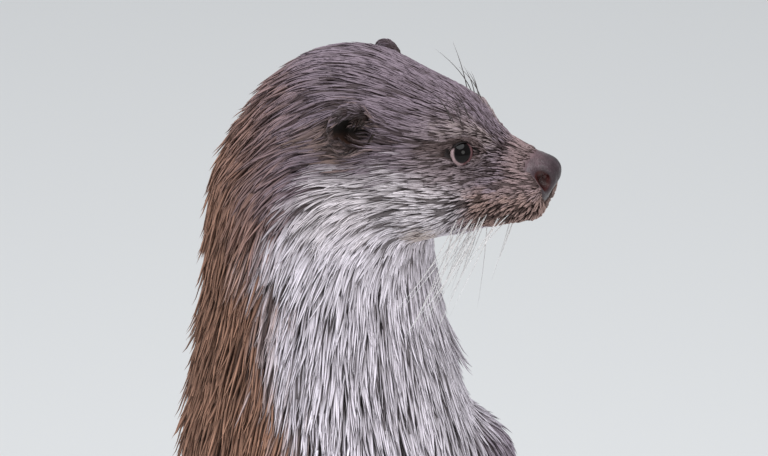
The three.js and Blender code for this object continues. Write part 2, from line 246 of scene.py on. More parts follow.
def joined_flesh():
    points, tris, owner, start = [], [], [], 0
    for number, name in enumerate(FLESH):
        own_points, own_tris = merged_node(name)
        points.append(own_points + point_normals(own_points, own_tris) * OVERLAP)
        tris.append(own_tris + start)
        owner.append(np.full(len(own_tris), number))
        start += len(own_points)
    return np.concatenate(points), np.concatenate(tris), np.concatenate(owner)


def evaluated(mesh, kind, **settings):
    """The mesh after one modifier."""
    carrier = new_object("carrier", mesh)
    for name, weights in settings.pop("groups", {}).items():
        group = carrier.vertex_groups.new(name=name)
        for weight in np.unique(weights):
            group.add(np.flatnonzero(weights == weight).tolist(), float(weight), "REPLACE")
    modifier = carrier.modifiers.new("made", kind)
    for key, value in settings.items():
        setattr(modifier, key, value)
    made = bpy.data.meshes.new_from_object(carrier.evaluated_get(bpy.context.evaluated_depsgraph_get()))
    bpy.data.objects.remove(carrier)
    bpy.data.meshes.remove(mesh)
    return made


def subdivided(mesh, chosen):
    """Splits the chosen faces in four. chosen() tells them by their centres, in the head's frame."""
    form = bmesh.new()
    form.from_mesh(mesh)
    centres = to_head(np.array([face.calc_center_median() for face in form.faces]))
    faces = [face for face, inside in zip(form.faces, chosen(centres)) if inside]
    edges = list({edge for face in faces for edge in face.edges})
    bmesh.ops.subdivide_edges(form, edges=edges, cuts=1, use_grid_fill=True)
    form.to_mesh(mesh)
    form.free()


def on_face(at):
    """Round the eyes and on the muzzle."""
    by_eye = (from_eye(at) < 20) & (np.abs(at[:, 1]) > 8)
    return by_eye | ((at[:, 0] > 58) & (at[:, 2] > -50))


def fine_detail(at):
    """Round the eyes and the nostrils, and in the ears."""
    by_eye = (from_eye(at) < 12) & (np.abs(at[:, 1]) > 12)
    by_nostril = np.linalg.norm(brought_left(at) - NOSTRIL, axis=1) < 8
    return by_eye | by_nostril | (ear_place(at)[0] < 1.9)


flesh_points, flesh_tris, flesh_owner = joined_flesh()
flesh_tree = BVHTree.FromPolygons(flesh_points.tolist(), flesh_tris.tolist())


def owners(points):
    """The number of the node of flesh that is nearest to each point."""
    return np.array([flesh_owner[flesh_tree.find_nearest(point)[2]] for point in points.tolist()])


def rough_skin():
    """The remeshed flesh, smoothed, drawn in by the coat's depth, and thinned away from the head."""
    mesh = evaluated(new_mesh("flesh", flesh_points, flesh_tris), "REMESH", mode="VOXEL", voxel_size=VOXEL)
    points = arrays(mesh)
    edges = Edges(mesh)
    owner = owners(points)
    rounds = edges.smooth(ROUNDS[owner], 8)
    first = points
    points = edges.smooth(points, rounds)
    kept = 1 - edges.smooth(is_on(owner, "upper_arm").astype(float), 20)
    points += edges.smooth(first - points, rounds) * kept[:, None]  # gives back what the first pass shrank
    to_nape = is_on(owner, ("head", "jaw")) * ramp(to_head(points)[:, 0], 10, -40)
    depth = edges.smooth(DEPTH[owner] + to_nape * (NAPE_DEPTH - DEPTH[owner]), 30)
    points -= point_normals(points, triangles(mesh)) * (depth * MM)[:, None]
    points[:, 2] = np.maximum(points[:, 2], 0)
    put_points(mesh, points)
    fine = is_on(owner, HEAD_NODES)
    return evaluated(mesh, "DECIMATE", ratio=1 - THINNED * (1 - fine.mean()), vertex_group="thin",
                     vertex_group_factor=10, groups={"thin": 1.0 - fine})


# ---- the head's folds, lids, lips and nostrils
EYE_RADIUS = 6.0
GAZE = unit(np.array([0.36, 0.88, 0.30]))  # of the left eye
OPENING = {"ahead": 5.6, "behind": 5.0, "up": 4.3, "down": 4.0}
NOSTRIL = np.array([75.8, 8.6, -25.2])
NOSTRIL_OUT = unit(np.array([0.7, 0.7, 0.0]))
MOUTH_CORNER = np.array([33, 0, -44.5])
MOUTH_SLOPE = math.tan(math.radians(6))
EAR_CENTRE = np.array([-1.2, 40, 5.0])
EAR_OUT = unit(np.array([0.05, 0.93, 0.36]))
EAR_UP = unit(np.cross((1, 0, 0), EAR_OUT))
EAR_SIZE = (8.6, 7.2)  # of the hollow, along the head and up


def ear_place(at):
    """How far out of the ear's hollow points are, 1 at its edge, the parts of that ahead and up, and the
    height above the hollow."""
    offset = brought_left(at) - EAR_CENTRE
    ahead, above = offset[:, 0] / EAR_SIZE[0], offset @ EAR_UP / EAR_SIZE[1]
    out = offset @ EAR_OUT
    return np.where(np.abs(out) < 16, np.hypot(ahead, above), 9.0), ahead, above, out


def carve_ear(at):
    """A hollow with a raised rim behind and above it."""
    r, ahead, above, _ = ear_place(at)
    outward = np.where(at[:, 1:2] > 0, EAR_OUT, on_side(EAR_OUT, "right"))
    behind = ramp(-ahead + 0.1 * above, -0.6, 0.9)
    at += outward * ((0.3 + 2.4 * behind) * bump(r, 1.2, 0.42))[:, None]
    at -= outward * (6.5 * ramp(r, 1.0, 0.45))[:, None]


def eye_axes(side):
    """Towards the nose, up the lids and out of the eye, in the head's frame."""
    out = on_side(GAZE, side)
    forward = unit(np.array([1, 0, 0]) - out * out[0])
    up = np.cross(out, forward)
    return np.stack([forward, up * np.sign(up[2]), out])


def lid_place(a, b):
    """1 at the edge of the lids, less over the eyeball. a is towards the nose, b is up."""
    tall = np.where(b > 0, OPENING["up"], OPENING["down"])
    wide = np.where(a > 0, OPENING["ahead"], OPENING["behind"])
    return np.sqrt((np.abs(a) / wide) ** np.where(a > 0, 1.7, 1.15) + (b / tall) ** 2)


def carve_eye(at, side):
    axes = eye_axes(side)
    a, b, c = ((at - on_side(EYE_PLACE, side)) @ axes.T).T
    near = (c > -3) & (np.hypot(a, b) < 18)
    e = lid_place(a, b)
    ball = np.sqrt(np.maximum(EYE_RADIUS**2 - a**2 - b**2, 2.2**2))
    lid = ball + 0.3 + 0.75 * ramp(e, 1.0, 1.25)
    hold = ramp(e, 1.8, 1.15)
    outside = c * (1 - hold) + lid * hold
    upper = ramp(b, -1, 3)
    outside -= 1.0 * bump(e, 1.75, 0.55) * upper * ramp(a, -14, -4)
    outside += 1.1 * bump(e, 2.55, 0.6) * upper
    outside -= 0.45 * bump(e, 1.5, 0.2) * (1 - upper)
    outside -= 0.35 * bump(e, 2.05, 0.22) * (1 - upper)
    inside = ball - 0.1 - 1.2 * ramp(e, 1.0, 0.82)
    moved = np.where(e < 1, inside, outside)
    at[near] += ((moved - c)[:, None] * axes[2])[near]


def carve_muzzle(at, normals):
    """The nose's sloping top, nostrils, the groove below the nose and the line of the lips."""
    at[:, 2] -= 2.2 * ramp(at[:, 0], 69, 80) * ramp(at[:, 2], -24, -14)
    shallow = 3.0 * ramp(at[:, 0], 38, 52) + 1.0 * ramp(at[:, 0], 55, 68)
    at[:, 2] += shallow * ramp(at[:, 2], -37, -48)
    for side in SIDES:
        r = np.linalg.norm((at - on_side(NOSTRIL, side)) * (0.85, 1.0, 0.9), axis=1) / 5.3
        at -= normals * (6.2 * ramp(r, 1.0, 0.3))[:, None] * (at[:, :1] > 67)
        at += normals * (0.5 * bump(r, 1.2, 0.35))[:, None] * (at[:, :1] > 67)
    front = ramp(at[:, 0], 66, 74) * (0.35 * ramp(at[:, 2], -18, -24) + 0.65 * ramp(at[:, 2], -29, -34))
    at -= normals * (1.1 * front * bump(at[:, 1], 0, 1.6))[:, None]
    lips = MOUTH_CORNER[2] + (at[:, 0] - MOUTH_CORNER[0]) * MOUTH_SLOPE
    along_mouth = ramp(at[:, 0], MOUTH_CORNER[0] - 2, MOUTH_CORNER[0] + 6)
    at -= normals * (1.3 * along_mouth * bump(at[:, 2], lips, 1.5))[:, None]


def finished_skin():
    mesh = rough_skin()
    for chosen, rounds in ((on_face, 3), (fine_detail, 3)):
        subdivided(mesh, chosen)
        points = arrays(mesh)
        inside = chosen(to_head(points)).astype(float)
        points = Edges(mesh).smooth(points, inside * rounds)
        put_points(mesh, points)
    points = arrays(mesh)
    at = to_head(points)
    nose_crease = bump(at[:, 0], 67, 10) * ramp(at[:, 2], -40, -34)
    points = Edges(mesh).smooth(points, 24 * nose_crease)
    put_points(mesh, points)
    at = to_head(points)
    normals = point_normals(points, triangles(mesh)) @ HEAD_AXES.T
    carve_muzzle(at, normals)
    carve_ear(at)
    for side in SIDES:
        carve_eye(at, side)
    put_points(mesh, from_head(at))
    mesh.shade_smooth()
    mesh.update()
    return mesh


skin_mesh = finished_skin()


# ---- the lie of the coat, and its markings
def towards(start, *ends):
    return unit(np.mean([middle(end) for end in ends], axis=0) - middle(start))


def node_lie(name):
    """The way the hair lies on a node of the trunk, a limb or the tail."""
    limb, _, side = name.rpartition("_")
    down_the_limb = {"upper_arm": "forearm", "forearm": "forepaw", "thigh": "shank", "shank": "hind_foot"}
    if limb in down_the_limb:
        return towards(name, f"{down_the_limb[limb]}_{side}")
    if limb in ("forepaw", "hind_foot"):
        return towards(name, *[claw for claw in CLAWS if name in claw])
    if name in ("tail_base", "tail_middle"):
        return towards(name, "tail_middle" if name == "tail_base" else "tail_tip")
    if name == "tail_tip":
        return towards("tail_middle", name)
    return np.array([0, 0, -1.0])


def head_lie(at):
    """Back from the nose, bending down behind the ears, over the cheeks and on the whisker pads."""
    x, z = at[:, 0], at[:, 2]
    down = 0.08 + 1.5 * ramp(x, 30, -30) * ramp(z, -12, -48)
    down += 1.1 * ramp(x, -12, -52)
    down += 1.3 * ramp(x, 44, 56) * ramp(z, -24, -36)
    down -= 0.4 * bump(x, 19, 17) * bump(z, 6, 18)
    down += 0.5 * bump(x, -18, 14) * bump(z, 8, 18)
    back = np.stack([-np.ones(len(at)), np.zeros(len(at)), -down], -1)
    return unit(back) @ HEAD_AXES


def lie_of(points, normals, owner):
    at = to_head(points)
    lie = np.array([node_lie(name) for name in FLESH])[owner]
    upper = is_on(owner, HEAD_NODES + ("neck",))
    share = upper * ramp(at[:, 2], -66, -44) * ramp(at[:, 0], -66, -50)
    lie = unit(lie * (1 - share[:, None]) + head_lie(at) * share[:, None])
    return lie - normals * np.sum(lie * normals, 1)[:, None]


# Colours of the fur, out at the light ends of the locks.
# The crown's colour is brown fur with the sky's mauve sheen painted in, a painted reflection.
CROWN_AND_SHEEN = np.array([0.25, 0.195, 0.232])
BACK = np.array([0.45, 0.248, 0.172])
PALE = np.array([0.85, 0.79, 0.86])
CHEEK = np.array([0.76, 0.69, 0.71])
PAD = np.array([0.40, 0.27, 0.24])
SHOULDER = np.array([0.34, 0.285, 0.34])
BELLY = np.array([0.46, 0.385, 0.34])
# Dark fur round the eye, partly its colour and partly painted shade under the brow.
EYE_FUR_AND_SHADE = np.array([0.11, 0.072, 0.066])
BROW = np.array([0.44, 0.35, 0.34])
# Near-black fur in and over the ear's hollow: partly dark fur, partly painted shade of the hollow.
EAR_FUR_AND_SHADE = np.array([0.020, 0.013, 0.010])
EAR_RIM = np.array([0.30, 0.20, 0.15])
STAIN = np.array([0.45, 0.33, 0.22])
NECK_AXIS_X = 152  # millimetres


def mixed(a, b, share):
    """The colours from a to b. Either may be one colour for all the points."""
    return a + (b - a) * share[:, None]


def lids(at):
    """How far out of the eye's opening, 1 at the edge of the lids, and the place along and up the lids."""
    best, along, height = np.full(len(at), 9.0), np.zeros(len(at)), np.zeros(len(at))
    for side in SIDES:
        a, b, c = ((at - on_side(EYE_PLACE, side)) @ eye_axes(side).T).T
        e = np.where(c > -3, lid_place(a, b), 9.0)
        along, height = np.where(e < best, a, along), np.where(e < best, b, height)
        best = np.minimum(e, best)
    return best, along, height


def pale_share(points):
    """How pale the fur is: on the cheeks, the throat and the neck's front, and in a band down the chest."""
    at = to_head(points)
    x, z = at[:, 0], at[:, 2]
    cheek_top = -15 - 0.95 * np.maximum(-8 - x, 0) - 0.5 * np.maximum(x - 22, 0)
    cheek_front = 46 + (z + 25) * 0.1 + 60 * ramp(z, -45, -49)
    on_cheek = ramp(np.minimum(cheek_top - z, cheek_front - x), -7, 9)
    height = points[:, 2] / MM
    border = 9 - 4 * bump(height, 522, 32) + 20 * ramp(height, 510, 465)
    border += 0.1 * np.clip(465 - height, 0, 120)
    soft = 8 + 14 * ramp(height, 470, 420)
    on_neck = np.clip(0.5 + 0.5 * (points[:, 0] / MM - NECK_AXIS_X - border) / soft, 0, 1)
    on_neck *= 1 - 0.2 * ramp(height, 430, 300)
    on_neck *= 1 - 0.7 * ramp(height, 455, 345) * ramp(np.abs(points[:, 1]) / MM, 34, 50)
    return on_neck + (on_cheek - on_neck) * ramp(z, -64, -46) * ramp(x, -64, -50)


def fur_colour(points):
    at = to_head(points)
    x, z = at[:, 0], at[:, 2]
    # Towards the top of the head the brown turns to the crown's colour, whose mauve is painted sheen.
    dark = mixed(BACK, CROWN_AND_SHEEN, ramp(z, -75, -35) * ramp(x, -72, -12))
    dark = mixed(dark, PAD, np.maximum(ramp(x, 42, 52) * ramp(z, -22, -30), 0.55 * ramp(x, 57, 68)))
    pale = mixed(PALE, CHEEK, 0.8 * ramp(z, -52, -26) * ramp(x, -40, -10))
    height = points[:, 2] / MM
    pale = mixed(pale, SHOULDER, ramp(height, 476, 455) * ramp(np.abs(points[:, 1]) / MM, 26, 42))
    pale = mixed(pale, BELLY, ramp(height, 440, 340))
    colour = mixed(dark, pale, pale_share(points))
    colour = mixed(colour, BROW, 0.4 * ramp(from_eye(at), 24, 8) * (np.abs(at[:, 1]) > 8))
    by_lids, eye_along, above_eye = lids(at)
    # Dark fur between the eye and the brow: partly dark fur, partly painted shade in the hollow under the
    # brow ridge.
    colour = mixed(colour, EYE_FUR_AND_SHADE, 0.8 * ramp(by_lids, 2.15, 1.75) * ramp(above_eye, -4, 1))
    brow = ramp(above_eye, 1, 6) * ramp(eye_along, -11, -6)
    colour = mixed(colour, BROW, 0.7 * brow * bump(by_lids, 2.45, 0.5))
    # A dark line above the brow fold: partly dark hair, partly painted shade at the foot of the fold.
    colour = mixed(colour, EYE_FUR_AND_SHADE, 0.6 * brow * bump(by_lids, 3.1, 0.3))
    from_corner = np.hypot(x - MOUTH_CORNER[0] + 3, z - MOUTH_CORNER[2] + 1)
    colour = mixed(colour, STAIN, 0.55 * ramp(from_corner, 9, 2))
    by_ear, ear_ahead, ear_above, ear_out = ear_place(at)
    behind = ramp(-ear_ahead - 0.7 * ear_above, 0.2, 0.9)
    colour = mixed(colour, EAR_RIM, 0.6 * behind * bump(by_ear, 1.45, 0.8))
    colour = mixed(colour, EAR_RIM, 0.5 * ramp(by_ear, 1.6, 1.2) * ramp(ear_out, -2, -5))
    # In the ear's hollow the fur turns near-black: partly dark fur, partly painted shade in the hollow.
    inside = ramp(by_ear, 1.7 - 0.6 * behind, 1.1 - 0.2 * behind) * ramp(ear_out, -8, -4)
    return mixed(colour, EAR_FUR_AND_SHADE, 0.9 * inside)


skin_points = arrays(skin_mesh)
skin_tris = triangles(skin_mesh)
skin_normals = point_normals(skin_points, skin_tris)
skin_edges = Edges(skin_mesh)
skin_owner = owners(skin_points)
skin_lie = unit(skin_edges.smooth(lie_of(skin_points, skin_normals, skin_owner), 30))
skin_tree = BVHTree.FromPolygons(skin_points.tolist(), skin_tris.tolist())
tri_normals = unit(skin_normals[skin_tris].mean(1))
tri_lie = unit(skin_lie[skin_tris].mean(1))
tri_middle = skin_points[skin_tris].mean(1)
skin_at = to_head(skin_points)
tri_at = skin_at[skin_tris].mean(1)


def nose_edge(at):
    """Below 0 on the bare pad of the nose, which ends above the lip and a little outside the nostrils."""
    side = np.abs(at[:, 1])
    back_to = 71.8 + 0.02 * np.maximum(at[:, 2] + 22, 0) ** 2 - 0.4 * np.maximum(-22 - at[:, 2], 0)
    back_to -= 1.5 * bump(side, 9, 6)
    below = np.maximum(-33.6 + 0.018 * side**2 - at[:, 2], 0) * 8
    outside = np.maximum(side - 12.2, 0) * 4
    return back_to + below + outside - at[:, 0]


def spread(of_node, rounds=14):
    return skin_edges.smooth(of_node[skin_owner], rounds)


# Shares of the head: its face, nape, whisker pads and underside, and the edge of the bare nose.
on_head = is_on(skin_owner, ("head", "jaw"))
face_share = on_head * ramp(skin_at[:, 0], -14, 56)
nape_share = on_head * ramp(skin_at[:, 0], 0, -55)
pad_share = on_head * ramp(skin_at[:, 0], 40, 50) * ramp(skin_at[:, 2], -22, -30)
low_share = on_head * ramp(skin_at[:, 2], -30, -58) * (1 - face_share)
by_nose = ramp(nose_edge(skin_at), 9, 1)
# The length, width and depth of the coat at each point of the skin, in millimetres.
skin_length = (spread(LENGTH) * (1 - 0.72 * face_share) + 5 * nape_share) * (1 - 0.4 * by_nose)
skin_width = spread(WIDTH, 60) * (1 - 0.3 * face_share)
skin_width += 0.6 * np.maximum(nape_share, low_share) + 0.5 * pad_share
skin_depth = spread(DEPTH) * (1 - 0.25 * face_share) + 1.0 * nape_share + 0.5 * pad_share
skin_depth *= 1 - 0.75 * by_nose

# ---- locks
rng = np.random.default_rng(7)
# Stations along a lock to its tip, and its width and lift at each.
LONG = {
    "shares": np.array([0.0, 0.28, 0.6, 0.86, 1.0]),
    "widths": np.array([0.6, 1.0, 0.82, 0.45]),
    "lifts": np.array([-0.2, 0.4, 0.74, 1.02, 1.3]),
}
SHORT = {
    "shares": np.array([0.0, 0.35, 0.78, 1.0]),
    "widths": np.array([0.65, 1.0, 0.62]),
    "lifts": np.array([-0.2, 0.5, 0.95, 1.08]),
}
RIDGE = 0.5  # height of the ridge, as a share of the width
WANDER = 0.07  # how far locks turn away from the lie, in radians
PATCH = 0.003  # a lock's size on the map for baking
MARGIN = 0.04  # round each tile of that map
MOST_TRIANGLES = 190000  # in a piece of the coat


def sampled(chosen, coverage):
    """Roots on the chosen triangles, spaced so that the locks cover the skin that many times."""
    tris = skin_tris[chosen]
    a, b, c = (skin_points[tris[:, i]] for i in range(3))
    area = np.linalg.norm(np.cross(b - a, c - a), axis=1) / 2
    size = (skin_length * skin_width)[tris].mean(1) * 0.6 * MM * MM
    expected = 4 * area * coverage / size
    count = rng.poisson(expected)
    index = np.repeat(np.arange(len(tris)), count)
    u, v = rng.random((2, len(index)))
    flip = u + v > 1
    u, v = np.where(flip, 1 - u, u), np.where(flip, 1 - v, v)
    weights = np.stack([1 - u - v, u, v], -1)
    points = np.einsum("ij,ijk->ik", weights, skin_points[tris[index]])
    gap = np.sqrt(size[index] / coverage) * 1.22
    cells = np.floor(points / gap[:, None] + 0.5).astype(np.int64)
    _, first = np.unique(cells, axis=0, return_index=True)
    first.sort()
    return points[first], np.flatnonzero(chosen)[index[first]], weights[first]


def at_roots(values, tri, weights):
    return np.einsum("ij,ij...->i...", weights, values[skin_tris[tri]])


def turned(vectors, normals, angle):
    return vectors * np.cos(angle)[:, None] + np.cross(normals, vectors) * np.sin(angle)[:, None]


def upright(points):
    """Places in millimetres, the way that the hair lies first."""
    return points[:, ::-1] / MM


def lengthwise(points):
    return points / MM


def strips(roots, lying, along, across):
    """The number of the clump that each lock belongs to. Clumps are strips along the lie of the fur."""
    at = lying(roots)
    waves = np.sin(at[:, :1] / 9 + at[:, ::-1] / 13)
    cells = np.floor((at + waves) / (along, across, across) + rng.random(3)).astype(np.int64)
    return np.unique(cells, axis=0, return_inverse=True)[1].reshape(-1)


def centre_lines(style, roots, tri, length, lift, angle, curl, member, pull):
    """Where each lock runs, station by station, and the way out of the skin there."""
    spots, normals = roots, tri_normals[tri]
    way = turned(tri_lie[tri], normals, angle)
    lines, outs, sides = [], [], []
    shares = style["shares"]
    for station, share in enumerate(shares):
        if station:
            reach = length * (share - shares[station - 1])
            found = [skin_tree.find_nearest(p) for p in (spots + way * reach[:, None]).tolist()]
            spots = np.array([tuple(hit[0]) for hit in found])
            here = np.array([hit[2] for hit in found])
            normals = tri_normals[here]
            way = way * 0.55 + turned(tri_lie[here], normals, angle + curl * share) * 0.45
            way = unit(way - normals * np.sum(way * normals, 1)[:, None])
        lines.append(spots + normals * (lift * style["lifts"][station])[:, None])
        outs.append(normals)
        sides.append(np.cross(normals, way))
    lines, outs, sides = (np.stack(values, 1) for values in (lines, outs, sides))
    heads = np.stack([
        np.stack([np.bincount(member, lines[:, s, k]) for k in range(3)], -1) for s in range(len(shares))
    ], 1) / np.bincount(member)[:, None, None]
    off = np.sum((heads[member] - lines) * sides, 2, keepdims=True)
    lines = lines + sides * off * (shares**1.2 * pull)[None, :, None]
    return lines, outs, sides


def lock_faces(count, rings):
    """Three-sided locks: a left edge, a ridge and a right edge at each station, and a tip."""
    faces = [(0, 2, 1)]
    for ring in range(rings - 1):
        a = ring * 3
        for i in range(3):
            j = (i + 1) % 3
            faces += [(a + i, a + j, a + 3 + j), (a + i, a + 3 + j, a + 3 + i)]
    last = (rings - 1) * 3
    faces += [(last + i, last + (i + 1) % 3, rings * 3) for i in range(3)]
    return (np.array(faces)[None] + (np.arange(count) * (rings * 3 + 1))[:, None, None]).reshape(-1, 3)


def unwrap_place(points, normals, low, high):
    """A place on a sheet of six tiles, one for each way that the skin can face."""
    axis = np.argmax(np.abs(normals), 1)
    tile = axis * 2 + (normals[np.arange(len(axis)), axis] > 0)
    share = (points - low) / (high - low)
    first = np.where(axis == 0, share[:, 1], share[:, 0])
    second = np.where(axis == 2, share[:, 1], share[:, 2])
    inner = 1 - 2 * MARGIN
    across_sheet = (tile % 3 + MARGIN + first * inner) / 3
    up_sheet = (tile // 3 + MARGIN + second * inner) / 2
    return np.stack([across_sheet, up_sheet], -1)


def coat_piece(name, style, slot, lines, outs, sides, width, tint, roots):
    count, rings = len(lines), len(style["widths"])
    widths = (width[:, None] * style["widths"])[:, :, None]
    body, across = lines[:, :rings], sides[:, :rings] * widths / 2
    ridge = outs[:, :rings] * widths * RIDGE
    rows = np.stack([body - across, body + ridge, body + across], 2).reshape(count, rings * 3, 3)
    points = np.concatenate([rows, lines[:, -1:]], 1)
    points[..., 2] = np.maximum(points[..., 2], 0.1 * MM)
    mesh = new_mesh(name, points.reshape(-1, 3), lock_faces(count, rings))
    corner = np.empty(len(mesh.loops), np.int32)
    mesh.loops.foreach_get("vertex_index", corner)
    own = [(i / 2, style["shares"][ring]) for ring in range(rings) for i in range(3)] + [(0.5, 1.0)]
    lock_uv = np.tile(own, (count, 1))
    place = unwrap_place(roots, outs[:, 0], roots.min(0), roots.max(0) + 1e-6)
    bake_uv = np.repeat(place, len(own), 0) + (lock_uv - 0.5) * PATCH
    for layer, uv in (("Lock", lock_uv), ("OFBake", bake_uv)):
        made = mesh.uv_layers.new(name=layer)
        made.data.foreach_set("uv", uv[corner].astype(np.float32).ravel())
    put_values(mesh, "Tint", "FLOAT_COLOR", np.repeat(tint, len(own), 0))
    dressed(name, mesh, fur)


def grow_coat(name, nodes, style, coverage, clump, slot, where=True, fine=1.0, under_share=0.36,
              brown_gaps=0.0, proud=1.0, lying=upright):
    """Locks over the nodes, gathered in clumps of a length and width in millimetres and a share of pull.
    fine makes them narrower, proud makes them stand out, and the shares are of dark locks that lie lower,
    dark partly as underfur and partly as painted shade in the gaps between clumps."""
    chosen = is_on(skin_owner[skin_tris[:, 0]], nodes) & ~bare_tris & where
    roots, tri, weights = sampled(chosen, coverage / fine)
    kept = rng.random(len(roots)) < 0.15 + ramp(nose_edge(to_head(roots)), 0, 8)
    roots, tri, weights = roots[kept], tri[kept], weights[kept]
    length = at_roots(skin_length, tri, weights) * MM * rng.uniform(0.75, 1.25, len(roots))
    width = at_roots(skin_width, tri, weights) * MM * rng.uniform(0.75, 1.3, len(roots)) * fine
    lift = at_roots(skin_depth, tri, weights) * MM * rng.uniform(0.8, 1.4, len(roots))
    along, across, pull = clump
    member = strips(roots, lying, along, across)
    tone = 0.72 * rng.random(member.max() + 1)[member] + 0.28 * rng.random(len(roots))
    share = under_share + brown_gaps * (1 - pale_share(roots))
    # Dark locks laid lower: partly the darker underfur, partly painted shade in the gaps between the clumps.
    under = tone < np.quantile(tone, share)
    tone = np.where(under, 0.15 * tone, 0.4 + 0.6 * tone)
    lift *= np.where(under, 0.6, proud)
    swirl = np.sin(roots @ (170, 90, 130)) + np.sin(roots @ (-80, 150, 210) + 1.3)
    angle = rng.normal(0, WANDER, len(roots)) + 0.06 * swirl
    curl = rng.normal(0, 2.2 * WANDER, len(roots))
    lines, outs, sides = centre_lines(style, roots, tri, length, lift, angle, curl, member, pull)
    astray = rng.normal(0, 2.6, (member.max() + 1, 3))[member] + rng.normal(0, 1.2, roots.shape)
    astray *= 0.4 if style is SHORT else 1.0
    tint = np.concatenate([fur_colour(roots + astray * MM), tone[:, None]], 1)
    order = np.argsort(roots[:, 1])
    per_piece = MOST_TRIANGLES // len(lock_faces(1, len(style["widths"])))
    parts = np.array_split(order, -(-len(order) // per_piece))
    for number, part in enumerate(parts, 1):
        own = (values[part] for values in (lines, outs, sides, width, tint, roots))
        coat_piece(f"{name}_{number}", style, slot, *own)


# ---- materials
class Nodes:
    """A short way to write node trees."""

    def __init__(self, name):
        self.material = bpy.data.materials.new(name)
        self.material.use_nodes = True
        self.tree = self.material.node_tree
        self.shader = self.tree.nodes["Principled BSDF"]

    def add(self, kind, inputs=(), **settings):
        node = self.tree.nodes.new(kind)
        for key, value in settings.items():
            setattr(node, key, value)
        for key, value in dict(inputs).items():
            self.put(node.inputs[key], value)
        return node

    def put(self, socket, value):
        if isinstance(value, bpy.types.NodeSocket):
            self.tree.links.new(value, socket)
        else:
            socket.default_value = value

    def layer(self, name):
        """A layer of the mesh's points."""
        return self.add("ShaderNodeAttribute", attribute_name=name).outputs

    def places(self):
        return self.add("ShaderNodeTexCoord").outputs["Object"]

    def math(self, operation, a, b=0.0):
        return self.add("ShaderNodeMath", {0: a, 1: b}, operation=operation).outputs[0]

    def mix(self, share, a, b, blend="MIX"):
        node = self.add("ShaderNodeMix", data_type="RGBA", blend_type=blend)
        self.put(node.inputs["Factor"], share)
        self.put(node.inputs[6], a)
        self.put(node.inputs[7], b)
        return node.outputs[2]

    def shaded(self, colour, shade):
        """The colour times a number."""
        grey = self.add("ShaderNodeCombineXYZ", {axis: shade for axis in "XYZ"}).outputs["Vector"]
        return self.mix(1.0, colour, grey, "MULTIPLY")

    def noise(self, vector, scale, detail=3):
        node = self.add("ShaderNodeTexNoise", {"Vector": vector, "Scale": scale, "Detail": detail,
                                               "Roughness": 0.55})
        return node.outputs["Fac"]

    def ranged(self, value, low, high, out_low=0.0, out_high=1.0):
        node = self.add("ShaderNodeMapRange", {"Value": value, "From Min": low, "From Max": high,
                                               "To Min": out_low, "To Max": out_high})
        return node.outputs["Result"]

    def varied(self, noise, low, high):
        """A noise, which keeps near its middle, brought to the range from low to high."""
        return self.ranged(noise, 0.3, 0.7, low, high)

    def bump(self, height, strength, distance):
        node = self.add("ShaderNodeBump", {"Height": height, "Strength": strength, "Distance": distance})
        self.put(self.shader.inputs["Normal"], node.outputs["Normal"])

    def finish(self, colour, roughness):
        self.put(self.shader.inputs["Base Color"], colour)
        self.put(self.shader.inputs["Roughness"], roughness)
        return self.material


# A dark warm brown that the locks' roots and the skin under the coat turn towards: partly the underfur's
# colour, partly painted shade in the gaps of the coat.
ROOT_BROWN_AND_GAP_SHADE = (0.030, 0.016, 0.013, 1)


def fur_material():
    """Locks: dark at the root, partly the hair's darker base and partly painted shade under the locks above,
    and dark at the sides, painted shade between the locks; each with its own tone, the darkest partly
    painted shade in the gaps; with fine strands along it, and the ridges of the lightest locks lighter
    still, partly a painted highlight.
    """
    made = Nodes("fur")
    uv = made.add("ShaderNodeUVMap", uv_map="Lock").outputs["UV"]
    on_lock = made.add("ShaderNodeSeparateXYZ", {0: uv}).outputs
    tint = made.layer("Tint")
    tone = tint["Alpha"]
    place = made.add("ShaderNodeCombineXYZ", {
        "X": made.math("MULTIPLY", on_lock["X"], 3.2),
        "Y": made.math("MULTIPLY", on_lock["Y"], 0.7),
        "Z": made.math("MULTIPLY", tone, 97.0),
    })
    strands = made.noise(place.outputs["Vector"], 2.0, 2)
    off_ridge = made.math("ABSOLUTE", made.math("SUBTRACT", on_lock["X"], 0.5))
    # Darker towards the root: partly the hair's darker base, partly painted shade under the locks above.
    shade = made.ranged(on_lock["Y"], 0.05, 0.65, 0.1, 1.0)
    # Darker towards the sides: painted shade between the locks.
    shade = made.math("MULTIPLY", shade, made.ranged(off_ridge, 0.1, 0.42, 1.0, 0.18))
    shade = made.math("MULTIPLY", shade, made.ranged(tone, 0, 1, 0.06, 1.4))
    shade = made.math("MULTIPLY", shade, made.varied(strands, 0.6, 1.3))
    root = made.mix(0.12, ROOT_BROWN_AND_GAP_SHADE, tint["Color"])
    colour = made.mix(made.ranged(shade, 0, 1), root, tint["Color"])
    # The ridges of the lightest locks lighter still: partly their light colour, partly a painted highlight.
    colour = made.shaded(colour, made.ranged(shade, 0.9, 1.6, 1.0, 1.5))
    made.bump(strands, 0.5, 0.0006)
    made.shader.inputs["Specular IOR Level"].default_value = 0.25
    return made.finish(colour, made.varied(strands, 0.54, 0.36))


